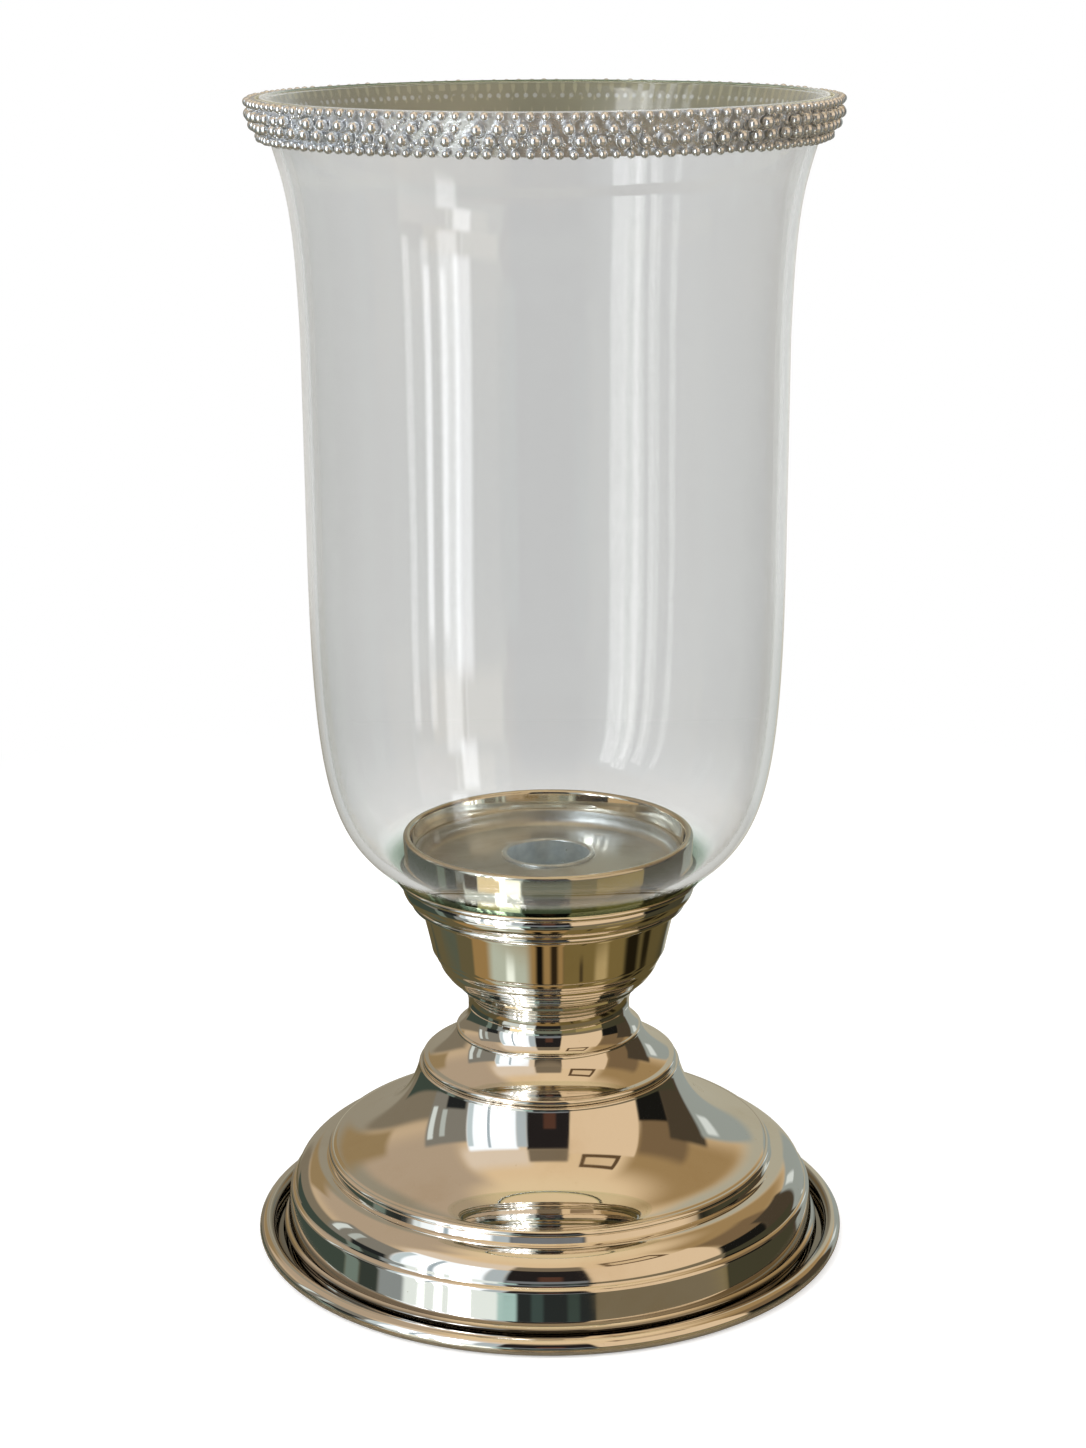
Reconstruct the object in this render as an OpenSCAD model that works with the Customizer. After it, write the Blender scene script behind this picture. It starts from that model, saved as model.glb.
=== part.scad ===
// Hurricane candle lantern: a spun metal foot and stem, a candle pan with a taper socket,
// and a lift-off blown glass shade with a beaded band round its mouth.
// Millimetres, +Z up. The origin is the centre of the circle on which the foot stands.

/* [Foot] */
// Height of the foot, from the table to the land that carries the stem
foot_height = 51; // [46:0.5:60]
// How far the rolled rim stands out from the upright band
rim_reach = 9.2; // [8.2:0.1:14]
// Radius of the roll round the rim
roll_radius = 2.4; // [2:0.1:2.8]
// Radius of the upright band above the rim
band_radius = 75.2; // [68:0.2:90]
// Height of the upright band's upper edge
band_top = 14.3; // [13:0.1:15]
// Height of the bead at the foot of the band
foot_bead_height = 4.6; // [4.2:0.1:5.4]
// Radius of the bead at the foot of the band
foot_bead = 0.9; // [0.7:0.05:1]
// Height of the channel's floor between the band and the roll
channel_floor = 1.3; // [1.1:0.1:1.8]
// Width of the rounded cushion between the upright band and the step bead
cushion_width = 13.2; // [12:0.1:15]
// Height of the step bead's centre
step_height = 25.6; // [24:0.1:28]
// Radius of the step bead
step_bead = 1.15; // [0.9:0.05:1.3]
// How far the cove's upper end stands out beyond the stem's lip
cove_margin = 0.9; // [0.6:0.1:2]
// How deep the cove bows in, as a share of its chord
cove_bow = 0.15; // [0.1:0.005:0.19]
// Sheet thickness of the spun pieces
sheet = 0.8; // [0.6:0.1:0.9]

/* [Stem] */
// Height of the two-tier knob
knob_height = 17.7; // [15:0.1:22]
// Outside radius of the knob's lip
knob_lip_radius = 36.5; // [33:0.1:37]
// Radius of the bead along the knob's lip
knob_lip_bead = 1; // [0.9:0.05:1.2]
// Radius of the ridge between the two tiers
ridge_radius = 26.6; // [26:0.1:29]
// Height of the ridge above the knob's base
ridge_height = 10.3; // [9:0.1:11.5]
// Radius of the neck, at its narrowest
neck_radius = 23; // [21:0.1:24]
// Height of the neck spool
spool_height = 7.2; // [6:0.1:12]
// Radius of the spool's upper end
spool_top_radius = 25.9; // [25:0.1:26.2]

/* [Bowl and glass seat] */
// Height of the ringed underside of the bowl
rings_height = 9.7; // [8:0.1:12]
// Height of the bowl's plain side
bowl_height = 13.2; // [11:0.1:18]
// Radius at the bottom of the bowl's plain side
bowl_base_radius = 33; // [32.5:0.1:34]
// Radius at the top of the bowl's plain side
bowl_top_radius = 36; // [35.5:0.1:37]
// Height of the glass seat
seat_height = 9.9; // [9:0.1:13]
// How far the seat's rounded side stands out beyond the collar
seat_belly = 0.6; // [0.2:0.1:1]
// Width of the flange's hem beyond the collar
seat_ledge = 2.1; // [1.8:0.1:3]
// Height of the rolled hem on the seat's flange
hem_height = 1.8; // [1.7:0.1:2.2]

/* [Candle pan] */
// Outside radius of the collar that centres the shade
collar_radius = 41; // [39.5:0.1:42]
// Height of the collar above the seat
collar_height = 11; // [9:0.1:16]
// Width of the collar's rounded top edge
collar_edge = 2.2; // [2:0.1:2.4]
// Depth from the collar's top down to the tray's rim
tray_drop = 5.2; // [4.5:0.1:6]
// Sheet thickness of the drip tray
tray_sheet = 1; // [0.8:0.1:1.2]
// Rise of the tray's floor, from its edge to the socket
tray_rise = 2.9; // [2:0.1:3.2]
// Bore radius of the taper socket
socket_radius = 11.5; // [10:0.05:12.5]
// Depth of the taper socket
socket_depth = 23; // [20:0.5:25]
// Wall of the taper socket
socket_wall = 0.8; // [0.6:0.1:1.2]
// Width of the socket's flange on the tray
socket_flange = 1.6; // [1.3:0.1:2.5]

/* [Glass shade] */
// Height of the shade
shade_height = 213.4; // [190.4:0.5:250.4]
// Wall of the glass
glass_wall = 2.4; // [2:0.1:3]
// Play between the collar and the shade's lower opening
shade_play = 0.7; // [0.5:0.1:1]
// Width of the ground ring on which the shade stands
shade_foot = 2.1; // [1.6:0.1:2.6]
// Outside radius of the shade's straight body
body_radius = 65.7; // [60:0.1:70]
// Outside radius of the flared mouth
mouth_radius = 75.6; // [72:0.1:80]
// Height of the rounded belly, from the foot up to the straight body
belly_height = 92; // [80:1:100]
// Height of the flare, measured down from the mouth
flare_height = 63.4; // [50.4:1:70.4]

/* [Beaded band] */
// Height of the metal strip
strip_height = 10.6; // [9.5:0.1:13]
// Thickness of the metal strip
strip_wall = 1; // [0.8:0.1:1.3]
// Thickness of the glue behind the strip
glue = 0.3; // [0.2:0.05:0.4]
// Radius of a seed bead
seed = 1.2; // [0.9:0.05:1.3]
// Seed beads in each edge row
seed_count = 136; // [110:1:150]
// Radius of a middling pearl
pearl = 1.7; // [1.4:0.05:1.75]
// Pearls in each middle row
pearl_count = 88; // [70:1:90]
// Radius of the small beads between the pearls
filler = 0.65; // [0.4:0.05:0.7]

/* [Fasteners] */
// Radius of the tie rod, which is brazed under the socket and clamps the stack
rod_radius = 2.95; // [2.4:0.05:3.4]
// Radius of the flange at the tie rod's upper end
flange_radius = 6; // [5:0.1:9]
// Thickness of that flange
flange_thickness = 1.6; // [1.2:0.1:3]
// Radius of the clamp plate inside the foot
plate_radius = 16; // [12:0.5:22]
// Thickness of the clamp plate
plate_thickness = 2; // [1.5:0.1:3]
// Thickness of the spring washer
spring_thickness = 1.6; // [1.2:0.1:2]
// Height of the hexagon nut
nut_height = 5; // [4:0.1:6]
// Width of the nut across its flats
nut_width = 10; // [9:0.1:13]
// Length of thread left below the nut
thread_past_nut = 2; // [1:0.5:5]

/* [Hidden] */
$fn = 96;

// Clearances
rod_play = 0.45;
thread_play = 0.04;
rest_gap = 0.3;
bead_gap = 0.05;

// Heights of the stacked pieces, each standing on the one below
knob_z = foot_height;
spool_z = knob_z + knob_height;
bowl_z = spool_z + spool_height;
seat_z = bowl_z + rings_height + bowl_height;
ledge_z = seat_z + seat_height;
collar_top = ledge_z + collar_height;
shade_z = ledge_z + rest_gap;
mouth_z = shade_z + shade_height;

hole = rod_radius + rod_play;
metal = [0.80, 0.76, 0.68];
dull = [0.62, 0.61, 0.58];
zinc = [0.52, 0.56, 0.60];
steel = [0.60, 0.61, 0.63];
pewter = [0.78, 0.77, 0.74];

// Points along a circular arc from a to b. The arc's middle stands off the chord by rise
// times the chord's length, to the left of the way from a to b.
function bow(a, b, rise, n = 8) =
    let (d = b - a,
         c = (a + b) / 2 - [-d.y, d.x] * (0.25 - rise * rise) / (2 * rise),
         turn = 4 * atan(2 * rise),
         s = a - c)
    [for (i = [0:n]) let (q = -turn * i / n)
        c + [s.x * cos(q) - s.y * sin(q), s.x * sin(q) + s.y * cos(q)]];

// Points of a bead's round face from angle t0 to t1
function round_face(c, r, t0, t1, n = 6) =
    [for (i = [0:n]) let (t = t0 + (t1 - t0) * i / n) c + r * [cos(t), sin(t)]];

// Points of a cubic curve
function curve(a, b, c, d, n) =
    [for (i = [0:n]) let (t = i / n, u = 1 - t)
        u * u * u * a + 3 * u * u * t * b + 3 * u * t * t * c + t * t * t * d];

function unit(v) = v / norm(v);
function right_of(v) = [v.y, -v.x];
function reversed(p) = [for (i = [len(p) - 1:-1:0]) p[i]];

// The far face of a sheet whose near face runs through p. A positive wall lies to the
// right of the way that p runs, and a negative one to its left.
function far_face(p, wall) =
    [for (i = [0:len(p) - 1])
        let (back = right_of(unit(p[i] - p[max(i - 1, 0)] + (i == 0 ? p[1] - p[0] : [0, 0]))),
             ahead = right_of(unit(i == len(p) - 1 ? p[i] - p[i - 1] : p[i + 1] - p[i])),
             mean = unit(back + ahead))
        p[i] + mean * wall / max(0.6, mean * ahead)];

// A piece spun from sheet
module spun(face, wall) {
    rotate_extrude()
        polygon(concat(face, reversed(far_face(face, wall))));
}

module washer(outer, inner, thickness) {
    difference() {
        cylinder(r = outer, h = thickness);
        translate([0, 0, -1])
            cylinder(r = inner, h = thickness + 2);
    }
}

// ---- Foot ----

// The roll stands on a narrow flat, lapped true on its underside
roll_step = 15;
roll_inside = roll_radius - sheet;
step_radius = band_radius - cushion_width;
cove_top_radius = knob_lip_radius + cove_margin;
roll_centre = [band_radius + rim_reach - roll_radius, roll_inside * cos(roll_step / 2) + sheet];
lip = 1;
cushion_foot = [band_radius - 1.5, band_top + 1.3];
bead_centre = [band_radius + foot_bead + 0.1, foot_bead_height];

foot_face = concat(
    [[hole, foot_height], [cove_top_radius - 0.5, foot_height]],
    bow([cove_top_radius, foot_height - 0.4],
        [step_radius, step_height + step_bead + 0.2], -cove_bow, 20),
    round_face([step_radius + 0.8, step_height], step_bead, 105, -35, 7),
    [[step_radius + 2.1, step_height - 2.2]],
    bow([step_radius + 2.7, step_height - 2.4], cushion_foot, 0.2, 12),
    [[band_radius - 1.1, band_top + 1]],
    round_face([band_radius - lip + 0.3, band_top], lip, 80, -20, 4),
    [[band_radius, band_top - 1], [band_radius, foot_bead_height + foot_bead + 0.8]],
    round_face(bead_centre, foot_bead, 80, -50, 6),
    [[bead_centre.x + 0.25, channel_floor + 1], [bead_centre.x + 1.3, channel_floor]],
    round_face(roll_centre, roll_inside, 270 - 2.5 * roll_step, 270 + 16.5 * roll_step, 19));

module foot_shell() {
    color(metal)
        spun(foot_face, sheet);
}

// ---- Stem ----

tier_start = [neck_radius, knob_height - 1.6];
tier_end = [ridge_radius - 0.9, ridge_height + 0.7];
ridge_foot = [ridge_radius + 0.9, ridge_height - 1.8];
lip_centre = [knob_lip_radius - knob_lip_bead, knob_lip_bead];

knob_face = concat(
    [[hole, knob_height], [neck_radius - 0.4, knob_height], [neck_radius, knob_height - 0.4]],
    bow(tier_start, tier_end, -0.096, 8),
    round_face([ridge_radius - 0.7, ridge_height], 0.7, 70, -20, 4),
    bow(ridge_foot, [knob_lip_radius - 1.9, knob_lip_bead * 2 + 0.1], -0.07, 8),
    round_face(lip_centre, knob_lip_bead, 100, -90, 8));

module stem_knob() {
    color(metal)
        translate([0, 0, knob_z])
            spun(knob_face, sheet);
}

module neck_spool() {
    waist = [neck_radius, spool_height * 0.1];
    brim = [spool_top_radius, spool_height - 0.6];
    color(metal)
        translate([0, 0, spool_z])
            rotate_extrude()
                polygon(concat([[hole, 0], [neck_radius, 0]],
                               bow(waist, brim, 0.11, 8),
                               [[spool_top_radius, spool_height], [hole, spool_height]]));
}

// ---- Bowl and glass seat ----

ring_lift = rings_height / 3;
ring_out = (bowl_base_radius - spool_top_radius) / 3;
plain_foot = [bowl_base_radius, rings_height];
plain_top = [bowl_top_radius, rings_height + bowl_height];

// The visible face of one of the stacked rings under the bowl
function ring_face(k, lo, hi) =
    bow([spool_top_radius + ring_out * lo, ring_lift * k + 0.45],
        [spool_top_radius + ring_out * hi, ring_lift * (k + 1) - 0.1], -0.07, 4);

bowl_face = concat(
    [[hole, 0], [spool_top_radius - 0.2, 0]],
    ring_face(0, 0.2, 1.5),
    ring_face(1, 1.65, 2.2),
    ring_face(2, 2.35, 2.75),
    [plain_foot],
    bow(plain_foot + [0.12, 0.3], plain_top - [0, 0.6], 0.008, 8),
    [plain_top]);

module bowl() {
    color(metal)
        translate([0, 0, bowl_z])
            spun(bowl_face, -sheet);
}

seat_side_radius = collar_radius + seat_belly;
ledge_flat = collar_radius + seat_ledge - hem_height / 2;
hem_under = seat_height - hem_height;
side_top = [seat_side_radius - 0.8, hem_under];
side_foot = [seat_side_radius - 1.2, 3.4];
step_out = bowl_top_radius + 1.8;

seat_face = concat(
    [[socket_radius + socket_wall + 3, seat_height]],
    bow([ledge_flat, seat_height], [ledge_flat, hem_under], 0.5, 10),
    bow(side_top, side_foot, 0.13, 8),
    [[step_out + 0.7, 2.9]],
    round_face([step_out, 1.4], 1.1, 60, -55, 5),
    [[bowl_top_radius + 0.9, 0], [bowl_top_radius - 2.4, 0]]);

module glass_seat() {
    color(metal)
        translate([0, 0, seat_z])
            spun(seat_face, sheet);
}

// ---- Candle pan ----

edge_round = collar_edge / 2;
tray_rim = collar_height - tray_drop;
tray_radius = collar_radius - collar_edge - 1;

// The collar is one sheet folded over at its top edge
collar_face = concat(
    [[collar_radius, 0]],
    bow([collar_radius, collar_height - edge_round],
        [collar_radius - collar_edge, collar_height - edge_round], -0.5, 10),
    [[tray_radius + 0.1, tray_rim + 0.5], [tray_radius + 0.1, 0]]);

module candle_collar() {
    color(metal)
        translate([0, 0, ledge_z])
            spun(collar_face, -0.6);
}

tray_floor = tray_sheet;
socket_hole = socket_radius + socket_wall + 0.1;
socket_seat = tray_floor + tray_rise;

tray_face = [[tray_radius - tray_sheet, tray_rim], [tray_radius - tray_sheet - 0.8, tray_floor + 0.5],
             [tray_radius - tray_sheet - 1.3, tray_floor], [socket_hole + socket_flange + 0.6, socket_seat - 0.1],
             [socket_hole, socket_seat]];

module drip_tray() {
    color(dull)
        translate([0, 0, ledge_z])
            rotate_extrude()
                polygon(concat(tray_face,
                               [[socket_hole, socket_seat - tray_sheet],
                                [tray_radius - tray_sheet - 1.3, 0], [tray_radius, 0],
                                [tray_radius, tray_rim]]));
}

flange_top = ledge_z + socket_seat + socket_wall;
socket_floor = flange_top - socket_depth;

module candle_socket() {
    color(zinc)
        difference() {
            union() {
                translate([0, 0, socket_floor - socket_wall])
                    cylinder(r = socket_radius + socket_wall, h = socket_depth + socket_wall);
                translate([0, 0, ledge_z + socket_seat])
                    cylinder(r = socket_hole + socket_flange, h = socket_wall);
            }
            translate([0, 0, socket_floor])
                cylinder(r = socket_radius, h = socket_depth + 1);
        }
}

// ---- Fasteners ----

rod_top = socket_floor - socket_wall;
plate_z = foot_height - sheet - plate_thickness;
spring_z = plate_z - spring_thickness;
nut_z = spring_z - nut_height;
rod_end = nut_z - thread_past_nut;

module tie_rod() {
    color(steel) {
        translate([0, 0, rod_end])
            cylinder(r = rod_radius, h = rod_top - rod_end);
        translate([0, 0, rod_top - flange_thickness])
            cylinder(r = flange_radius, h = flange_thickness);
    }
}

module clamp_plate() {
    color(steel)
        translate([0, 0, plate_z])
            washer(plate_radius, hole, plate_thickness);
}

module spring_washer() {
    ring = nut_width / 2;
    color(steel)
        translate([0, 0, spring_z])
            difference() {
                washer(ring, hole, spring_thickness);
                translate([0, -0.4, -1])
                    cube([ring + 1, 0.8, spring_thickness + 2]);
            }
}

module hex_nut() {
    color(steel)
        translate([0, 0, nut_z])
            difference() {
                cylinder(r = nut_width / 2 / cos(30), h = nut_height, $fn = 6);
                translate([0, 0, -1])
                    cylinder(r = rod_radius + thread_play, h = nut_height + 2);
            }
}

// ---- Glass shade ----

opening = collar_radius + shade_play;
foot_out = opening + shade_foot;
straight_top = shade_height - flare_height;

glass_face = concat(
    curve([foot_out, 0], [foot_out + 16.2, belly_height * 0.132],
          [body_radius - 0.6, belly_height * 0.23], [body_radius - 0.25, belly_height], 22),
    curve([body_radius, straight_top], [body_radius + 1.05, straight_top + flare_height * 0.645],
          [mouth_radius - 6.55, shade_height - flare_height * 0.37],
          [mouth_radius, shade_height], 16));

// Inside of the wall, kept clear of the straight lower opening
glass_inside = [for (p = far_face(glass_face, -glass_wall)) if (p.x > opening + 0.05) p];

module glass_shade() {
    top = len(glass_inside) - 1;
    inside = [for (i = [0:top - 1]) glass_inside[i]];
    color([0.85, 0.9, 0.88, 0.35])
        translate([0, 0, shade_z])
            rotate_extrude()
                polygon(concat(glass_face,
                               [[mouth_radius - glass_wall, shade_height]],
                               reversed(inside),
                               [[opening, inside[0].y - 0.3], [opening, 0]]));
}

// ---- Beaded band ----

strip_top = shade_height - 0.2;
strip_foot = strip_top - strip_height;

// Outside radius of the glass at height z on the shade, read off the points of its outline
function glass_at(z) =
    lookup(z, [for (p = glass_face) [p.y, p.x]]);

// The band leans with the flare, so each layer follows the glass at its own distance
function band_line(off) =
    [for (i = [0:4]) let (z = strip_foot + strip_height * i / 4) [glass_at(z) + off, z]];

module band_layer(near, far) {
    translate([0, 0, shade_z])
        rotate_extrude()
            polygon(concat(band_line(far), reversed(band_line(near))));
}

module band_glue() {
    color([0.66, 0.64, 0.52])
        band_layer(0.02, glue);
}

strip_face = glue + strip_wall;

module band_strip() {
    color(pewter)
        band_layer(glue, strip_face);
}

seed_spread = 0.05;
pearl_stray = 0.1;
seed_top = strip_top - seed + 0.3;
seed_foot = strip_foot + seed - 0.5;
pearl_reach = seed * (1 + seed_spread) + pearl + pearl_stray + bead_gap;
pearl_top = seed_top - pearl_reach;
pearl_foot = seed_foot + pearl_reach;

// A steady wander between -1 and 1, so that no two neighbours are alike
function wander(i, k) = sin(i * 137.5 + k * 61) * cos(i * 73.3 + k * 29);

// A ball standing on the band's face: angle a, height z, radius r
module ball(a, z, r) {
    rotate([0, 0, a])
        translate([glass_at(z) + strip_face + r + bead_gap, 0, shade_z + z])
            sphere(r = r, $fn = 24);
}

module seed_row(z) {
    for (i = [0:seed_count - 1])
        ball(i * 360 / seed_count, z, seed * (1 + seed_spread * wander(i, z)));
}

// No two pearls are quite the same size or quite in line
module pearl_row(z, shift, k) {
    for (i = [0:pearl_count - 1])
        ball((i + shift + 0.03 * wander(i, k)) * 360 / pearl_count,
             z + pearl_stray * wander(i, k + 2), pearl * (1 - 0.1 * abs(wander(i, k + 5))));
}

module top_seed_row() {
    color(pewter)
        seed_row(seed_top);
}

module upper_pearl_row() {
    color(pewter)
        pearl_row(pearl_top, 0, 1);
}

module lower_pearl_row() {
    color(pewter)
        pearl_row(pearl_foot, 0.5, 3);
}

module bottom_seed_row() {
    color(pewter)
        seed_row(seed_foot);
}

// Small beads fill the gap after each pearl, set off from the other row
module filler_beads() {
    offset_z = filler * 0.7;
    color(pewter)
        for (i = [0:pearl_count - 1]) {
            ball((i + 0.5) * 360 / pearl_count, pearl_top + offset_z, filler);
            ball(i * 360 / pearl_count, pearl_foot - offset_z, filler);
        }
}

foot_shell();
stem_knob();
neck_spool();
bowl();
glass_seat();
candle_collar();
drip_tray();
candle_socket();
tie_rod();
clamp_plate();
spring_washer();
hex_nut();
glass_shade();
band_glue();
band_strip();
top_seed_row();
upper_pearl_row();
lower_pearl_row();
bottom_seed_row();
filler_beads();
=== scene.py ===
import math
import random

import bmesh
import bpy
from mathutils import Matrix, Vector


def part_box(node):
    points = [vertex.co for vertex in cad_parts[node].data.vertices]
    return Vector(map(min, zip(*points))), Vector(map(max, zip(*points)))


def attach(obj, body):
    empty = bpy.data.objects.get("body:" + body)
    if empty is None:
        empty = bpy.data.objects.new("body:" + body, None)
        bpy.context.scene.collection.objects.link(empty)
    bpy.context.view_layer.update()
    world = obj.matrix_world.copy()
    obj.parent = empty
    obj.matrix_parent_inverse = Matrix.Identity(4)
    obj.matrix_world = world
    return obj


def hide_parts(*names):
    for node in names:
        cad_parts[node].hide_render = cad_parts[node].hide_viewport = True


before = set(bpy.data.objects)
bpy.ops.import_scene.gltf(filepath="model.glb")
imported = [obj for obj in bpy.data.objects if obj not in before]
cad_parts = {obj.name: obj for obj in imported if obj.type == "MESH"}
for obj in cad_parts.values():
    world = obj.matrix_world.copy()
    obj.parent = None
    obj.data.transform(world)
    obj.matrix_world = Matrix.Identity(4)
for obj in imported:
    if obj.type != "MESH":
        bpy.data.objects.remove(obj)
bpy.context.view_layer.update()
mm = 0.001


# every outline point is (radius, height) in millimetres

def bow(a, b, rise, count=16):
    # an arc from a to b whose middle stands off the chord by rise times its length
    a, b = Vector(a), Vector(b)
    d = b - a
    centre = (a + b) / 2 - Vector((-d.y, d.x)) * (0.25 - rise * rise) / (2 * rise)
    turn = 4 * math.atan(2 * rise)
    start = a - centre
    points = []
    for i in range(count + 1):
        q = -turn * i / count
        points.append(centre + Vector((start.x * math.cos(q) - start.y * math.sin(q),
                                       start.x * math.sin(q) + start.y * math.cos(q))))
    return points


def roundFace(centre, radius, fromAngle, toAngle, count=10):
    points = []
    for i in range(count + 1):
        t = math.radians(fromAngle + (toAngle - fromAngle) * i / count)
        points.append(Vector((centre[0] + radius * math.cos(t), centre[1] + radius * math.sin(t))))
    return points


def curve(a, b, c, d, count):
    # a smooth curve from a to d that b and c pull towards them
    points = []
    for i in range(count + 1):
        t = i / count
        u = 1 - t
        points.append(u ** 3 * Vector(a) + 3 * u * u * t * Vector(b)
                      + 3 * u * t * t * Vector(c) + t ** 3 * Vector(d))
    return points


def line(*points):
    return [Vector(p) for p in points]


def farFace(face, wall):
    # the other side of a sheet: to the right of the way the face runs
    points = []
    for i, p in enumerate(face):
        before = (face[i] - face[i - 1]) if i else (face[1] - face[0])
        after = (face[i + 1] - face[i]) if i < len(face) - 1 else before
        rights = [Vector((v.y, -v.x)).normalized() for v in (before, after)]
        mean = (rights[0] + rights[1]).normalized()
        points.append(p + mean * wall / max(0.6, mean.dot(rights[1])))
    return points


def raised(points, height):
    return [Vector((p.x, p.y + height)) for p in points]


def newPiece(bm, name):
    mesh = bpy.data.meshes.new(name)
    bm.to_mesh(mesh)
    bm.free()
    piece = bpy.data.objects.new(name, mesh)
    bpy.context.scene.collection.objects.link(piece)
    return piece


def finishMesh(bm, name, sharpAngle=32):
    bmesh.ops.recalc_face_normals(bm, faces=bm.faces)
    limit = math.radians(sharpAngle)
    for face in bm.faces:
        face.smooth = True
    for edge in bm.edges:
        edge.smooth = edge.calc_face_angle(0) < limit
    return newPiece(bm, name)


def spun(name, outline, steps=240, sharpAngle=32, closed=True):
    # an outline turned once round the axis. An open one starts and ends on the axis
    bm = bmesh.new()
    verts = [bm.verts.new((p.x * mm, 0, p.y * mm)) for p in outline]
    edges = [bm.edges.new(pair) for pair in zip(verts[:-1], verts[1:])]
    if closed:
        edges.append(bm.edges.new((verts[-1], verts[0])))
    bmesh.ops.spin(bm, geom=verts + edges, cent=(0, 0, 0), axis=(0, 0, 1), dvec=(0, 0, 0),
                   angle=math.tau, steps=steps, use_merge=True, use_duplicate=False)
    bmesh.ops.remove_doubles(bm, verts=bm.verts, dist=1e-6)
    return finishMesh(bm, name, sharpAngle)


def sheetPiece(name, face, wall, height):
    return spun(name, raised(face + farFace(face, wall)[::-1], height))


def place(piece, body, slotName, material, *nodes):
    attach(piece, body)
    if nodes:
        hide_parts(*nodes)
    piece.data.materials.clear()
    piece.data.materials.append(material)


def nodeMaker(tree):
    # an input is named by its socket, as in Base_Color, or by its number, as in i0
    def make(kind, settings=None, **inputs):
        node = tree.nodes.new(kind)
        for key, value in (settings or {}).items():
            setattr(node, key, value)
        for key, value in inputs.items():
            numbered = key[0] == "i" and key[1:].isdigit()
            socket = node.inputs[int(key[1:]) if numbered else key.replace("_", " ")]
            if isinstance(value, bpy.types.NodeSocket):
                tree.links.new(value, socket)
            else:
                socket.default_value = value
        return node
    return make


def newMaterial(name):
    material = bpy.data.materials.new(name)
    material.use_nodes = True
    material.node_tree.nodes.clear()
    return material, nodeMaker(material.node_tree)


def mathNode(make, operation, *values):
    inputs = {"i" + str(index): value for index, value in enumerate(values)}
    return make("ShaderNodeMath", {"operation": operation}, **inputs).outputs[0]


def smoothStep(make, value, low, high):
    # 0 at low and 1 at high. Where low is the larger, it falls instead of rising
    return make("ShaderNodeMapRange", {"interpolation_type": "SMOOTHSTEP"}, Value=value,
                From_Min=low, From_Max=high).outputs[0]


def mixColour(make, factor, a, b):
    return make("ShaderNodeMix", {"data_type": "RGBA"}, i0=factor, i6=a, i7=b).outputs[2]


def linear(red, green, blue, gain=1.0):
    # a screen colour, 0 to 255, as a linear one
    def one(v):
        v = v / 255
        return (v / 12.92 if v <= 0.04045 else ((v + 0.055) / 1.055) ** 2.4) * gain
    return (one(red), one(green), one(blue), 1.0)


# a pair of values says where something begins and where it is full. Depths are in metres
nickelFinish = {
    "tint": (0.93, 0.905, 0.865, 1),
    "tarnish": (0.72, 0.60, 0.42, 1),
    "gloss": 0.03, "smear": 0.12,
    "dentScale": 22.0, "dentDepth": 0.00005,
    "spinScale": 700.0, "spinDepth": 0.0000010,
    "cloudScale": 38.0, "cloud": (0.52, 0.78), "cloudTarnish": 0.25,
    "pitScale": 900.0, "pit": (0.70, 0.80), "pitTarnish": 0.35,
    # painted shade: a dark colour for the channel behind the rolled rim, and the radii where it falls
    "channelShade": (0.26, 0.25, 0.23, 1), "channelShadeShare": 0.85,
    "channelShadeInner": (0.0764, 0.0772), "channelShadeOuter": (0.0821, 0.0809),
}
# painted reflection: the collar's copy of the nickel is tinted warm gold for the warm light it mirrors
warmReflectionPanFinish = dict(nickelFinish, tint=(0.93, 0.89, 0.79, 1), tarnish=(0.66, 0.55, 0.36, 1), gloss=0.04)
# painted shade: the neck between the knob and the bowl gets a darker copy of the nickel
shadedNeckFinish = dict(nickelFinish, tint=(0.76, 0.735, 0.69, 1), tarnish=(0.52, 0.42, 0.28, 1), gloss=0.05)


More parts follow.
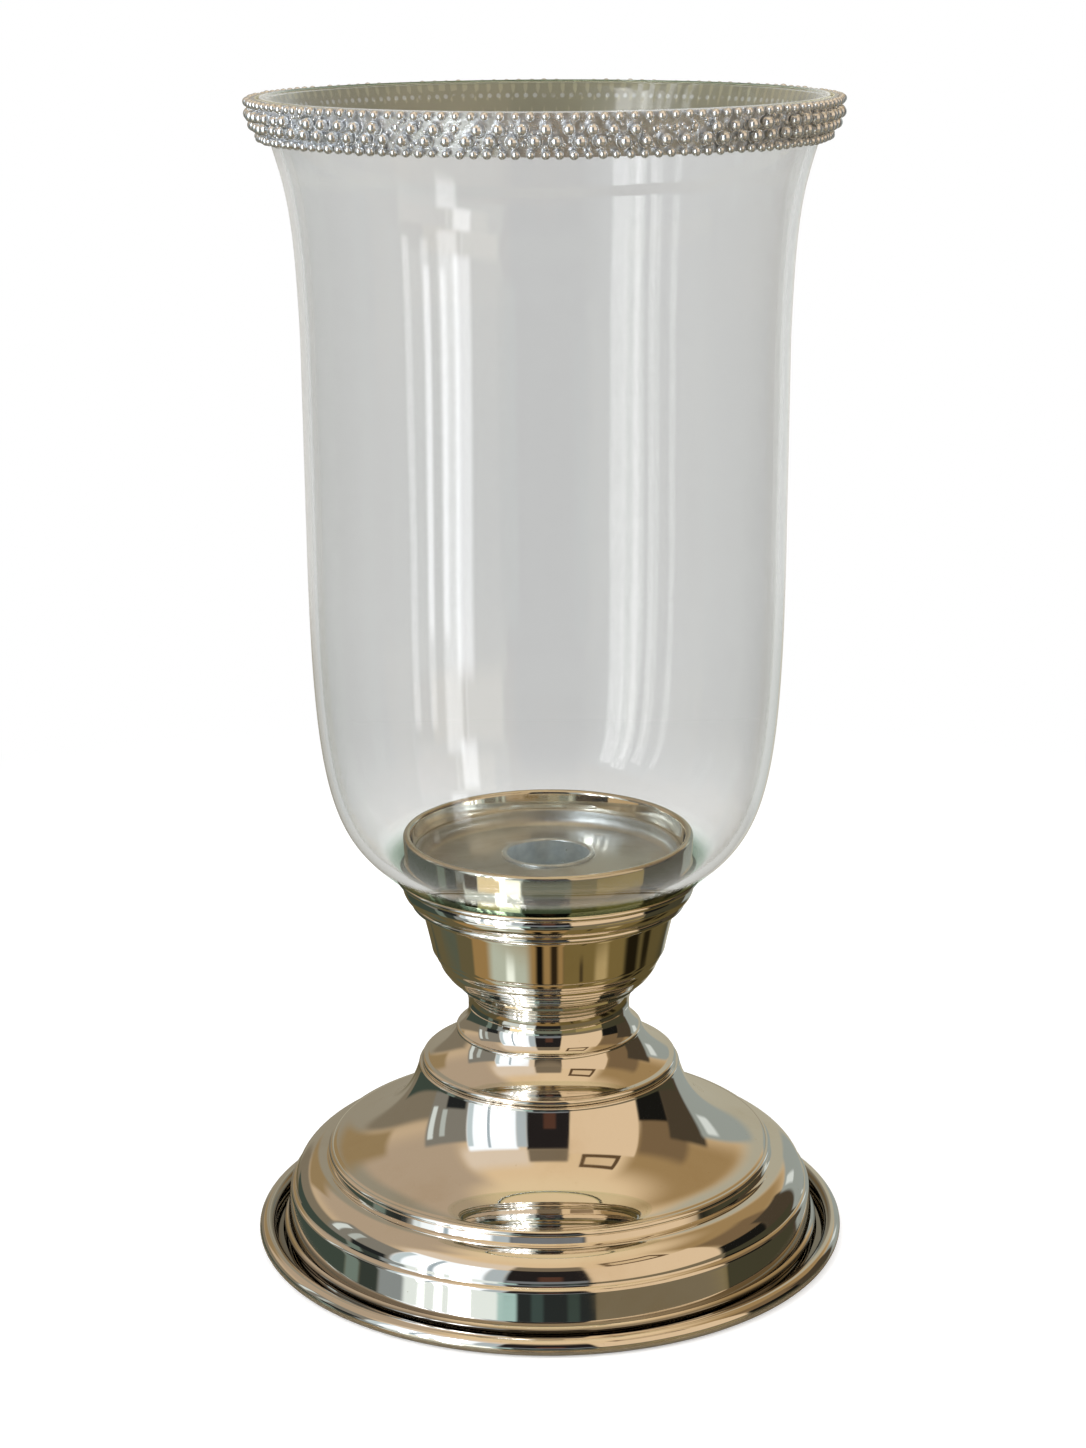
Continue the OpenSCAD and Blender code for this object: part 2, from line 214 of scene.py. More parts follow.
def polishedNickel(name, s):
    # mirror plate over spun sheet: broad soft dents, fine turning lines, cloudy wipe marks and pits
    material, make = newMaterial(name)
    spot = make("ShaderNodeTexCoord").outputs["Object"]
    dents = make("ShaderNodeTexNoise", Vector=spot, Scale=s["dentScale"], Detail=1.0).outputs[0]
    cloud = make("ShaderNodeTexNoise", Vector=spot, Scale=s["cloudScale"], Detail=6.0,
                 Roughness=0.6).outputs[0]
    speck = make("ShaderNodeTexNoise", Vector=spot, Scale=s["pitScale"], Detail=2.0).outputs[0]
    x, y, z = make("ShaderNodeSeparateXYZ", Vector=spot).outputs
    squares = mathNode(make, "MULTIPLY_ADD", x, x, mathNode(make, "MULTIPLY", y, y))
    out = mathNode(make, "SQRT", squares)
    turned = make("ShaderNodeCombineXYZ", X=out, Y=z).outputs[0]
    lines = make("ShaderNodeTexNoise", Vector=turned, Scale=s["spinScale"], Detail=3.0,
                 Roughness=0.7).outputs[0]
    patchy = smoothStep(make, cloud, *s["cloud"])
    pits = smoothStep(make, speck, *s["pit"])
    tarnished = mathNode(make, "MULTIPLY", patchy, s["cloudTarnish"])
    colour = mixColour(make, tarnished, s["tint"], s["tarnish"])
    colour = mixColour(make, mathNode(make, "MULTIPLY", pits, s["pitTarnish"]), colour, s["tarnish"])
    # painted shade: the channel behind the rolled rim is darkened
    shadedChannel = mathNode(make, "MULTIPLY", smoothStep(make, out, *s["channelShadeInner"]),
                    smoothStep(make, out, *s["channelShadeOuter"]))
    colour = mixColour(make, mathNode(make, "MULTIPLY", shadedChannel, s["channelShadeShare"]), colour, s["channelShade"])
    rough = mathNode(make, "MULTIPLY_ADD", patchy, s["smear"] * 0.5, s["gloss"])
    rough = mathNode(make, "MULTIPLY_ADD", pits, s["smear"], rough)
    broad = make("ShaderNodeBump", Strength=1.0, Distance=s["dentDepth"], Height=dents).outputs[0]
    fine = make("ShaderNodeBump", Strength=1.0, Distance=s["spinDepth"], Height=lines,
                Normal=broad).outputs[0]
    shader = make("ShaderNodeBsdfPrincipled", Base_Color=colour, Metallic=1.0, Roughness=rough,
                  Normal=fine)
    make("ShaderNodeOutputMaterial", Surface=shader.outputs[0])
    return material


trayFinish = {
    "clean": (0.77, 0.82, 0.85, 1),
    "stain": (0.60, 0.63, 0.63, 1),
    "wax": (0.86, 0.86, 0.80, 1),
    "cloudScale": 60.0, "stained": (0.42, 0.72),
    "dripScale": 85.0, "drip": (0.13, 0.22),
    "patchScale": 30.0, "waxed": (0.5, 0.6), "waxShare": 0.5, "waxCover": 0.6,
    "roughness": 0.34, "stainRoughness": 0.12,
    "depth": 0.0002, "cloudRise": 0.3,
}


def dullNickel():
    material, make = newMaterial("dullNickel")
    s = trayFinish
    spot = make("ShaderNodeTexCoord").outputs["Object"]
    cloud = make("ShaderNodeTexNoise", Vector=spot, Scale=s["cloudScale"], Detail=7.0,
                 Roughness=0.65).outputs[0]
    drips = make("ShaderNodeTexVoronoi", {"feature": "SMOOTH_F1"}, Vector=spot,
                 Scale=s["dripScale"]).outputs[0]
    patches = make("ShaderNodeTexNoise", Vector=spot, Scale=s["patchScale"]).outputs[0]
    spots = mathNode(make, "SUBTRACT", 1.0, smoothStep(make, drips, *s["drip"]))
    wax = mathNode(make, "MULTIPLY", spots, smoothStep(make, patches, *s["waxed"]))
    stain = smoothStep(make, cloud, *s["stained"])
    colour = mixColour(make, stain, s["clean"], s["stain"])
    colour = mixColour(make, mathNode(make, "MULTIPLY", wax, s["waxShare"]), colour, s["wax"])
    metallic = mathNode(make, "SUBTRACT", 1.0, mathNode(make, "MULTIPLY", wax, s["waxCover"]))
    rough = mathNode(make, "MULTIPLY_ADD", stain, s["stainRoughness"], s["roughness"])
    rise = mathNode(make, "ADD", wax, mathNode(make, "MULTIPLY", cloud, s["cloudRise"]))
    height = make("ShaderNodeBump", Strength=1.0, Distance=s["depth"], Height=rise).outputs[0]
    shader = make("ShaderNodeBsdfPrincipled", Base_Color=colour, Metallic=metallic, Roughness=rough,
                  Normal=height)
    make("ShaderNodeOutputMaterial", Surface=shader.outputs[0])
    return material


plainFinishes = {
    # light and dark colour, roughness, scale and depth of the grain, metallic share
    "dullZinc": ((0.88, 0.96, 1.0, 1), (0.68, 0.76, 0.82, 1), 0.30, 260.0, 0.00004, 0.75),
    "fastenerSteel": ((0.55, 0.55, 0.54, 1), (0.38, 0.38, 0.37, 1), 0.30, 300.0, 0.00004, 1.0),
    "mattPewter": ((0.92, 0.95, 1.0, 1), (0.66, 0.67, 0.70, 1), 0.28, 700.0, 0.00012, 0.80),
    "brightBeads": ((0.96, 0.98, 1.0, 1), (0.88, 0.90, 0.92, 1), 0.11, 500.0, 0.00004, 0.85),
}


def plainMetal(name):
    light, dark, roughness, grain, depth, metallic = plainFinishes[name]
    material, make = newMaterial(name)
    spot = make("ShaderNodeTexCoord").outputs["Object"]
    noise = make("ShaderNodeTexNoise", Vector=spot, Scale=grain, Detail=5.0, Roughness=0.6).outputs[0]
    colour = mixColour(make, smoothStep(make, noise, 0.35, 0.7), light, dark)
    rough = mathNode(make, "MULTIPLY_ADD", noise, roughness * 0.6, roughness * 0.7)
    height = make("ShaderNodeBump", Strength=1.0, Distance=depth, Height=noise).outputs[0]
    shader = make("ShaderNodeBsdfPrincipled", Base_Color=colour, Metallic=metallic, Roughness=rough,
                  Normal=height)
    make("ShaderNodeOutputMaterial", Surface=shader.outputs[0])
    return material


glassFinish = {
    # painted light: a paler tint for where the glass is seen aslant
    "tint": (0.775, 0.775, 0.775, 1), "paintedSideLight": (0.825, 0.825, 0.822, 1), "aslant": (0.03, 0.30),
    "refraction": 1.47,
    "rippleScale": 26.0, "rippleDepth": 0.0005, "rippleStretch": (1.0, 1.0, 0.22),
    "green": (0.66, 0.84, 0.68, 1), "greenDensity": 9.0,
    "mirroredTint": (0.97, 0.97, 0.96, 1),
    "dust": 0.75, "dustRoughness": 0.4, "dustFrom": (0.165, 0.205),
    # painted shade: dark green for the edges of the wall. Heights under the mouth and over the foot, and
    # how far behind the axis
    "paintedEdgeGreen": (0.24, 0.32, 0.25, 1), "mouthEdge": (0.0009, 0.0003), "mouthBehind": (0.0, 0.03),
    "footClear": (0.94, 0.955, 0.945, 1), "footFrom": (0.0070, 0.0035),
    "paintedFootGreen": (0.38, 0.46, 0.39, 1), "footEdge": (0.0045, 0.0004),
}


def clearGlass():
    material, make = newMaterial("clearGlass")
    s = glassFinish
    spot = make("ShaderNodeTexCoord").outputs["Object"]
    stretch = make("ShaderNodeMapping", Vector=spot, Scale=s["rippleStretch"]).outputs[0]
    ripple = make("ShaderNodeTexNoise", Vector=stretch, Scale=s["rippleScale"], Detail=1.5).outputs[0]
    height = make("ShaderNodeBump", Strength=1.0, Distance=s["rippleDepth"], Height=ripple).outputs[0]
    # painted shade: the glass is tinted dark green at its foot and at the far side of its mouth, where
    # the wall is seen lengthwise
    low, high = (corner[2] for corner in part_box("glass_shade"))
    along = make("ShaderNodeSeparateXYZ", Vector=spot).outputs
    footZone = smoothStep(make, along["Z"], *(low + rise for rise in s["footFrom"]))
    footEdge = smoothStep(make, along["Z"], *(low + rise for rise in s["footEdge"]))
    mouthEdge = mathNode(make, "MULTIPLY",
                         smoothStep(make, along["Z"], *(high - drop for drop in s["mouthEdge"])),
                         smoothStep(make, along["Y"], *s["mouthBehind"]))
    # painted light: the glass is tinted paler where it is seen aslant
    facing = make("ShaderNodeLayerWeight", Blend=0.5).outputs["Facing"]
    tint = mixColour(make, smoothStep(make, facing, *s["aslant"]), s["tint"], s["paintedSideLight"])
    tint = mixColour(make, mouthEdge, tint, s["paintedEdgeGreen"])
    # a film of dust shows at the edges of the upper part
    film = mathNode(make, "MULTIPLY", smoothStep(make, along["Z"], *s["dustFrom"]), s["dust"])
    shader = make("ShaderNodeBsdfPrincipled", Base_Color=tint, Roughness=0.0, IOR=s["refraction"],
                  Transmission_Weight=1.0, Sheen_Weight=film, Sheen_Roughness=s["dustRoughness"],
                  Normal=height).outputs[0]
    paintedFootGreen = mixColour(make, footEdge, s["footClear"], s["paintedFootGreen"])
    footGlass = make("ShaderNodeBsdfTransparent", Color=paintedFootGreen).outputs[0]
    clear = make("ShaderNodeMixShader", i0=footZone, i1=shader, i2=footGlass).outputs[0]
    # metal mirrors the room past the glass, so there the glass is all but gone
    mirrored = mathNode(make, "GREATER_THAN", make("ShaderNodeLightPath").outputs["Glossy Depth"], 0.5)
    faint = make("ShaderNodeBsdfTransparent", Color=s["mirroredTint"]).outputs[0]
    shown = make("ShaderNodeMixShader", i0=mirrored, i1=clear, i2=faint).outputs[0]
    green = make("ShaderNodeVolumeAbsorption", Color=s["green"], Density=s["greenDensity"]).outputs[0]
    make("ShaderNodeOutputMaterial", Surface=shown, Volume=green)
    return material


glueFinish = {
    "light": (0.66, 0.62, 0.44, 1), "dark": (0.56, 0.52, 0.36, 1), "grainScale": 120.0,
    "roughness": 0.45, "depth": 0.0002,
    # the edge of a dot is soft, from the first share of its radius to the second
    "brightDot": (0.96, 0.96, 0.90, 1), "brightDots": 176, "brightDotDrop": 0.0046, "brightDotRadius": 0.0006,
    "brightDotEdge": (1.4, 0.7), "brightDotShown": (0.36, 0.48), "ringRadius": 0.0745,
}


def gluedBack():
    material, make = newMaterial("driedGlue")
    s = glueFinish
    spot = make("ShaderNodeTexCoord").outputs["Object"]
    noise = make("ShaderNodeTexNoise", Vector=spot, Scale=s["grainScale"], Detail=4.0).outputs[0]
    colour = mixColour(make, noise, s["light"], s["dark"])
    # a row of bright dots is painted on the glue near the top of the band
    x, y, z = make("ShaderNodeSeparateXYZ", Vector=spot).outputs
    turn = mathNode(make, "MULTIPLY", mathNode(make, "ARCTAN2", y, x), s["brightDots"] / math.tau)
    aside = mathNode(make, "MULTIPLY", mathNode(make, "PINGPONG", turn, 0.5),
                     math.tau * s["ringRadius"] / s["brightDots"])
    off = mathNode(make, "SUBTRACT", z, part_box("glass_shade")[1][2] - s["brightDotDrop"])
    squares = mathNode(make, "MULTIPLY_ADD", off, off, mathNode(make, "MULTIPLY", aside, aside))
    reach = mathNode(make, "SQRT", squares)
    brightDot = mathNode(make, "MULTIPLY",
                   smoothStep(make, reach, *(s["brightDotRadius"] * share for share in s["brightDotEdge"])),
                   smoothStep(make, noise, *s["brightDotShown"]))
    colour = mixColour(make, brightDot, colour, s["brightDot"])
    height = make("ShaderNodeBump", Strength=0.5, Distance=s["depth"], Height=noise).outputs[0]
    shader = make("ShaderNodeBsdfPrincipled", Base_Color=colour, Roughness=s["roughness"], Normal=height)
    make("ShaderNodeOutputMaterial", Surface=shader.outputs[0])
    return material


nickel = polishedNickel("polishedNickel", nickelFinish)
warmReflectionPanNickel = polishedNickel("warmReflectionPanNickel", warmReflectionPanFinish)
shadedNeckNickel = polishedNickel("shadedNeckNickel", shadedNeckFinish)
dull = dullNickel()
zinc = plainMetal("dullZinc")
steel = plainMetal("fastenerSteel")
pewter = plainMetal("mattPewter")
silver = plainMetal("brightBeads")
glassMaterial = clearGlass()
glueMaterial = gluedBack()
print("materials made")


foot = {
    "height": 51.0, "hole": 3.4, "sheet": 0.8,
    "rim": 84.4, "roll": 2.4, "rollStep": 15,
    "band": 75.2, "bandTop": 14.3, "lean": 1.0, "lip": 1.5,
    "beadHeight": 4.1, "bead": 0.65, "channel": 1.3,
    "step": 62.0, "stepHeight": 25.6, "stepBead": 1.15, "coveTop": 37.4, "coveBow": 0.15,
}


def footFace():
    s = foot
    rollInside = s["roll"] - s["sheet"]
    rollRise = rollInside * math.cos(math.radians(s["rollStep"] / 2))
    rollCentre = (s["rim"] - s["roll"], rollRise + s["sheet"])
    bandFoot = s["band"] + s["lean"]
    beadX = bandFoot + s["bead"] - 0.2
    beadTop = s["beadHeight"] + s["bead"]
    coveFoot = (s["step"], s["stepHeight"] + s["stepBead"] + 0.2)
    top = s["height"]
    return (line((s["hole"], top), (s["coveTop"] - 0.9, top))
            + bow((s["coveTop"] - 0.5, top), (s["coveTop"], top - 0.5), 0.2, 4)
            + bow((s["coveTop"], top - 0.6), coveFoot, -s["coveBow"], 64)
            + roundFace((s["step"] + 0.8, s["stepHeight"]), s["stepBead"], 105, -35, 14)
            + line((s["step"] + 2.1, s["stepHeight"] - 2.2))
            + bow((s["step"] + 2.7, s["stepHeight"] - 2.4),
                  (s["band"] - 1.5, s["bandTop"] + 1.3), 0.2, 36)
            + roundFace((s["band"] - s["lip"], s["bandTop"] + 1 - s["lip"]), s["lip"], 85, 8, 10)
            + line((s["band"] + 0.05, s["bandTop"] - 0.9), (s["band"] + 0.2, s["bandTop"] - 2.2),
                   (bandFoot - 0.15, beadTop + 1.5), (bandFoot, beadTop + 0.3))
            + roundFace((beadX, s["beadHeight"]), s["bead"], 80, -50, 12)
            + line((beadX + 0.2, s["channel"] + 1), (beadX + 1.0, s["channel"]))
            + roundFace(rollCentre, rollInside,
                        270 - 2.5 * s["rollStep"], 270 + 16.5 * s["rollStep"], 57))


footShell = sheetPiece("footShell", footFace(), foot["sheet"], 0)
place(footShell, "stand", "polished_nickel", nickel, "foot_shell")
print("foot made")


stem = {
    "height": 17.7, "lip": 36.5, "lipBead": 1.0, "ridge": 26.6, "ridgeHeight": 10.3,
    "neck": 23.0, "spool": 7.2, "spoolTop": 25.9,
}
knobZ = foot["height"]
spoolZ = knobZ + stem["height"]
bowlZ = spoolZ + stem["spool"]


def knobFace():
    s = stem
    lipCentre = (s["lip"] - s["lipBead"], s["lipBead"])
    return (line((foot["hole"], s["height"]),
                 (s["neck"] - 0.4, s["height"]), (s["neck"], s["height"] - 0.4))
            + bow((s["neck"], s["height"] - 1.6), (s["ridge"] - 0.9, s["ridgeHeight"] + 0.7), -0.096, 24)
            + roundFace((s["ridge"] - 0.7, s["ridgeHeight"]), 0.7, 70, -20, 8)
            + bow((s["ridge"] + 0.9, s["ridgeHeight"] - 1.8),
                  (s["lip"] - 1.9, s["lipBead"] * 2 + 0.1), -0.07, 24)
            + roundFace(lipCentre, s["lipBead"], 100, -90, 16))


stemKnob = sheetPiece("stemKnob", knobFace(), foot["sheet"], knobZ)
place(stemKnob, "stand", "polished_nickel", nickel, "stem_knob")

spoolOutline = (line((foot["hole"], 0), (stem["neck"], 0))
                + bow((stem["neck"], stem["spool"] * 0.1),
                      (stem["spoolTop"], stem["spool"] - 0.6), 0.11, 24)
                + line((stem["spoolTop"], stem["spool"]), (foot["hole"], stem["spool"])))
neckSpool = spun("neckSpool", raised(spoolOutline, spoolZ))
place(neckSpool, "stand", "polished_nickel", shadedNeckNickel, "neck_spool")
print("stem made")


bowl = {"rings": 9.7, "height": 13.2, "base": 33.0, "top": 36.0}
seat = {"height": 9.9, "side": 41.6, "ledge": 2.1, "hem": 1.8}
seatZ = bowlZ + bowl["rings"] + bowl["height"]
ledgeZ = seatZ + seat["height"]


def bowlFace():
    s = bowl
    lift = s["rings"] / 3
    out = (s["base"] - stem["spoolTop"]) / 3

    def ring(k, low, high):
        return bow((stem["spoolTop"] + out * low, lift * k + 0.45),
                   (stem["spoolTop"] + out * high, lift * (k + 1) - 0.1), -0.07, 12)

    sideFoot = Vector((s["base"], s["rings"]))
    return (line((foot["hole"], 0), (stem["spoolTop"] - 0.2, 0))
            + ring(0, 0.2, 1.5) + ring(1, 1.65, 2.2) + ring(2, 2.35, 2.75) + [sideFoot]
            + bow(sideFoot + Vector((0.12, 0.3)),
                  (s["top"], s["rings"] + s["height"] - 0.6), 0.008, 24)
            + line((s["top"], s["rings"] + s["height"])))


bowlPiece = sheetPiece("bowl", bowlFace(), -foot["sheet"], bowlZ)
place(bowlPiece, "stand", "polished_nickel", nickel, "bowl")

collar = {"radius": 41.0, "height": 11.0, "edge": 2.2, "drop": 5.2}
tray = {"sheet": 1.0, "rise": 2.9}
socket = {"radius": 11.5, "depth": 23.0, "wall": 0.8, "flange": 1.6, "lip": 0.8}


def seatFace():
    s = seat
    flat = collar["radius"] + s["ledge"] - s["hem"] / 2
    under = s["height"] - s["hem"]
    stepOut = bowl["top"] + 1.8
    return (line((socket["radius"] + socket["wall"] + 3, s["height"]))
            + bow((flat, s["height"]), (flat, under), 0.499, 16)
            + bow((s["side"] - 0.8, under), (s["side"] - 1.2, 3.4), 0.13, 24)
            + line((stepOut + 0.7, 2.9))
            + roundFace((stepOut, 1.4), 1.1, 60, -55, 12)
            + line((bowl["top"] + 0.9, 0), (bowl["top"] - 2.4, 0)))


glassSeat = sheetPiece("glassSeat", seatFace(), foot["sheet"], seatZ)
place(glassSeat, "stand", "polished_nickel", nickel, "glass_seat")
print("bowl and seat made")


trayRim = collar["height"] - collar["drop"]
trayRadius = collar["radius"] - collar["edge"] - 1
edgeRound = collar["edge"] / 2


def collarFace():
    s = collar
    foldFoot = s["height"] - edgeRound
    return (line((s["radius"], 0), (s["radius"], 2))
            + bow((s["radius"], foldFoot), (s["radius"] - s["edge"], foldFoot), -0.499, 24)
            + line((trayRadius + 0.1, trayRim + 0.5), (trayRadius + 0.1, 0)))


candleCollar = sheetPiece("candleCollar", collarFace(), -0.6, ledgeZ)
place(candleCollar, "stand", "polished_nickel", warmReflectionPanNickel, "candle_collar")

socketHole = socket["radius"] + socket["wall"] + 0.1
socketSeat = tray["sheet"] + tray["rise"]
trayIn = trayRadius - tray["sheet"]
trayMiddle = (socketHole + socket["flange"] + 0.6, socketSeat - 0.1)
trayOutline = (line((trayIn, trayRim - 0.3))
               + bow((trayIn - 0.15, trayRim - 1.2), (trayIn - 1.6, tray["sheet"] + 0.25), 0.16, 14)
               + bow((trayIn - 2.2, tray["sheet"] + 0.12), trayMiddle, 0.012, 14)
               + line((socketHole, socketSeat), (socketHole, socketSeat - tray["sheet"]),
                      (trayIn - 1.3, 0), (trayRadius, 0), (trayRadius, trayRim - 0.2),
                      (trayRadius - 0.4, trayRim), (trayIn + 0.3, trayRim)))
dripTray = spun("dripTray", raised(trayOutline, ledgeZ))
place(dripTray, "stand", "dull_nickel", dull, "drip_tray")

flangeTop = ledgeZ + socketSeat + socket["wall"]
socketFloor = flangeTop - socket["depth"]
flangeOut = socketHole + socket["lip"]
wallOut = socket["radius"] + socket["wall"]
socketOutline = (line((0, socketFloor), (socket["radius"] - 1, socketFloor))
                 + bow((socket["radius"] - 1, socketFloor), (socket["radius"], socketFloor + 1), -0.2, 8)
                 + bow((socket["radius"], flangeTop - 0.6), (socket["radius"] + 0.6, flangeTop), 0.2, 10)
                 + bow((flangeOut - 0.5, flangeTop), (flangeOut, flangeTop - 0.5), 0.2, 6)
                 + line((flangeOut, ledgeZ + socketSeat), (wallOut, ledgeZ + socketSeat),
                        (wallOut, socketFloor - socket["wall"]), (0, socketFloor - socket["wall"])))
candleSocket = spun("candleSocket", socketOutline, steps=120, closed=False)
place(candleSocket, "stand", "zinc", zinc, "candle_socket")
print("candle pan made")


shade = {
    "height": 213.4, "wall": 2.4, "play": 0.7, "foot": 2.1, "body": 65.7, "mouth": 75.6,
    "belly": 92.0, "flare": 63.4, "gap": 0.3,
}
shadeZ = ledgeZ + shade["gap"]
opening = collar["radius"] + shade["play"]


def glassFace(fine=1):
    s = shade
    footOut = opening + s["foot"]
    straightTop = s["height"] - s["flare"]
    belly = curve((footOut, 0), (footOut + 16.2, s["belly"] * 0.132),
                  (s["body"] - 0.6, s["belly"] * 0.23), (s["body"] - 0.25, s["belly"]), 60 * fine)
    flare = curve((s["body"], straightTop), (s["body"] + 1.05, straightTop + s["flare"] * 0.645),
                  (s["mouth"] - 6.55, s["height"] - s["flare"] * 0.37), (s["mouth"], s["height"]),
                  48 * fine)
    return belly + flare


def glassOutline():
    face = glassFace()
    inside = [p for p in farFace(face, -shade["wall"]) if p.x > opening + 0.05]
    top = shade["height"]
    mouthIn = shade["mouth"] - shade["wall"]
    outer = face[:-1] + bow(face[-1] - Vector((0.32, 0.9)), (shade["mouth"] - 0.9, top), 0.2, 8)
    rim = bow((mouthIn + 0.9, top), (mouthIn - 0.1, top - 0.9), 0.2, 8)
    inner = [p for p in inside[::-1] if p.y < top - 1.2]
    return outer + rim + inner + line((opening, inner[-1].y - 0.3), (opening, 0.4), (opening + 0.4, 0))


glassShade = spun("glassShade", raised(glassOutline(), shadeZ), steps=256, sharpAngle=50)
place(glassShade, "shade", "glass", glassMaterial, "glass_shade")
print("glass made")


band = {
    "strip": 10.6, "wall": 1.0, "glue": 0.3, "below": 0.2,
    "seed": 1.2, "seeds": 136, "pearl": 1.7, "pearls": 88, "stray": 0.1, "play": 0.05,
    "bareUpper": 0.16, "bareLower": 0.03, "bezelShare": 0.62,
    "fillers": 330, "fillerTries": 9000, "fillerSize": (0.38, 0.72), "fillerEdge": 1.3,
    "randomStart": 11,
}
stripTop = shade["height"] - band["below"]
stripFoot = stripTop - band["strip"]
stripFace = band["glue"] + band["wall"]
glassSide = glassFace(3)


def glassAt(height):
    for a, b in zip(glassSide[:-1], glassSide[1:]):
        if a.y <= height <= b.y and b.y > a.y:
            return a.x + (b.x - a.x) * (height - a.y) / (b.y - a.y)
    return glassSide[-1].x


def bandSpot(angle, height, out):
    # the frame of a bead: +X stands off the band, +Y runs round it
    spot = Matrix.Translation(((glassAt(height) + out) * mm, 0, (shadeZ + height) * mm))
    return Matrix.Rotation(angle, 4, "Z") @ spot


def patternMesh(bm, name):
    for face in bm.faces:
        face.smooth = True
    mesh = bpy.data.meshes.new(name)
    bm.to_mesh(mesh)
    bm.free()
    return mesh


def ballPattern():
    bm = bmesh.new()
    bmesh.ops.create_uvsphere(bm, u_segments=12, v_segments=8, radius=mm)
    return patternMesh(bm, "ballPattern")


def bezelPattern(wire=0.13, steps=14):
    # a thin ring of middle radius 1 that lies round +X
    bm = bmesh.new()
    corners = [bm.verts.new((u * wire * mm, (1 + (1 + v) * wire) * mm, 0))
               for u, v in ((-0.6, -1), (0.8, -0.6), (0.8, 0.6), (-0.6, 1))]
    sides = [bm.edges.new((corners[i], corners[(i + 1) % 4])) for i in range(4)]
    bmesh.ops.spin(bm, geom=corners + sides, cent=(0, 0, 0), axis=(1, 0, 0), dvec=(0, 0, 0),
                   angle=math.tau, steps=steps, use_merge=True, use_duplicate=False)
    bmesh.ops.recalc_face_normals(bm, faces=bm.faces)
    return patternMesh(bm, "bezelPattern")


def dabPattern():
    # a low flat-topped disc of radius 1
    bm = bmesh.new()
    bmesh.ops.create_cone(bm, cap_ends=True, segments=9, radius1=mm, radius2=0.8 * mm, depth=0.4 * mm)
    bmesh.ops.rotate(bm, cent=(0, 0, 0), matrix=Matrix.Rotation(math.pi / 2, 3, "Y"), verts=bm.verts)
    return patternMesh(bm, "dabPattern")


patterns = {"ball": ballPattern(), "bezel": bezelPattern(), "dab": dabPattern()}


def addBead(bm, kind, angle, height, size, out):
    # the bead's middle stands out from the face of the strip
    copy = patterns[kind].copy()
    copy.transform(bandSpot(angle, height, stripFace + out) @ Matrix.Scale(size, 4))
    bm.from_mesh(copy)
    bpy.data.meshes.remove(copy)


def finishBeads(bm, name, node):
    place(newPiece(bm, name), "shade", "silver_beads", silver, node)


seedTop = stripTop - band["seed"] + 0.3
seedFoot = stripFoot + band["seed"] - 0.5
pearlReach = band["seed"] * 1.05 + band["pearl"] + band["stray"] + band["play"]
pearlTop = seedTop - pearlReach
pearlFoot = seedFoot + pearlReach


def seedRow(name, node, height, rng):
    bm = bmesh.new()
    for i in range(band["seeds"]):
        size = band["seed"] * rng.uniform(0.84, 1.03)
        turn = (i + rng.uniform(-0.05, 0.05)) * math.tau / band["seeds"]
        addBead(bm, "ball", turn, height + rng.uniform(-0.1, 0.1), size, size)
    finishBeads(bm, name, node)


def pearlRow(name, node, height, shift, rng, taken, bareShare):
    # pearls of mixed sizes, most of them in a bezel. Here and there only a dab of cement is left
    bm = bmesh.new()
    for i in range(band["pearls"]):
        turn = (i + shift + rng.uniform(-0.07, 0.07)) * math.tau / band["pearls"]
        rise = height + rng.uniform(-0.16, 0.16)
        size = band["pearl"] * rng.uniform(0.84, 1.0)
        if rng.random() < bareShare:
            addBead(bm, "dab", turn, rise, size * 0.8, 0.15)
            taken.append((turn, rise, size * 0.5))
            continue
        addBead(bm, "ball", turn, rise, size, size)
        bezel = rng.random() < band["bezelShare"]
        if bezel:
            addBead(bm, "bezel", turn, rise, size, 0.15)
        taken.append((turn, rise, size * 0.8 + (0.25 if bezel else 0)))
    finishBeads(bm, name, node)


rng = random.Random(band["randomStart"])
taken = []
seedRow("topSeedRow", "top_seed_row", seedTop, rng)
pearlRow("upperPearlRow", "upper_pearl_row", pearlTop, 0.0, rng, taken, band["bareUpper"])
pearlRow("lowerPearlRow", "lower_pearl_row", pearlFoot, 0.5, rng, taken, band["bareLower"])
seedRow("bottomSeedRow", "bottom_seed_row", seedFoot, rng)


def fillers():
    # small beads thrown at random wherever they touch no pearl
    bm = bmesh.new()
    radius = glassAt(pearlTop)
    placed = list(taken)
    tries = 0
    while len(placed) < len(taken) + band["fillers"] and tries < band["fillerTries"]:
        tries += 1
        turn = rng.uniform(0, math.tau)
        rise = rng.uniform(seedFoot + band["fillerEdge"], seedTop - band["fillerEdge"])
        size = rng.uniform(*band["fillerSize"])
        near = min(math.hypot(((turn - t + math.pi) % math.tau - math.pi) * radius, rise - h) - r
                   for t, h, r in placed)
        if near > size * 0.9:
            placed.append((turn, rise, size))
            addBead(bm, "ball", turn, rise, size, size)
    finishBeads(bm, "fillerBeads", "filler_beads")


fillers()
print("beads made")


for name, material in {
        "tie_rod": steel, "clamp_plate": steel, "spring_washer": steel, "hex_nut": steel,
        "band_glue": glueMaterial, "band_strip": pewter}.items():
    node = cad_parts[name]
    node.data.materials.clear()
    node.data.materials.append(material)
print("CAD pieces finished")


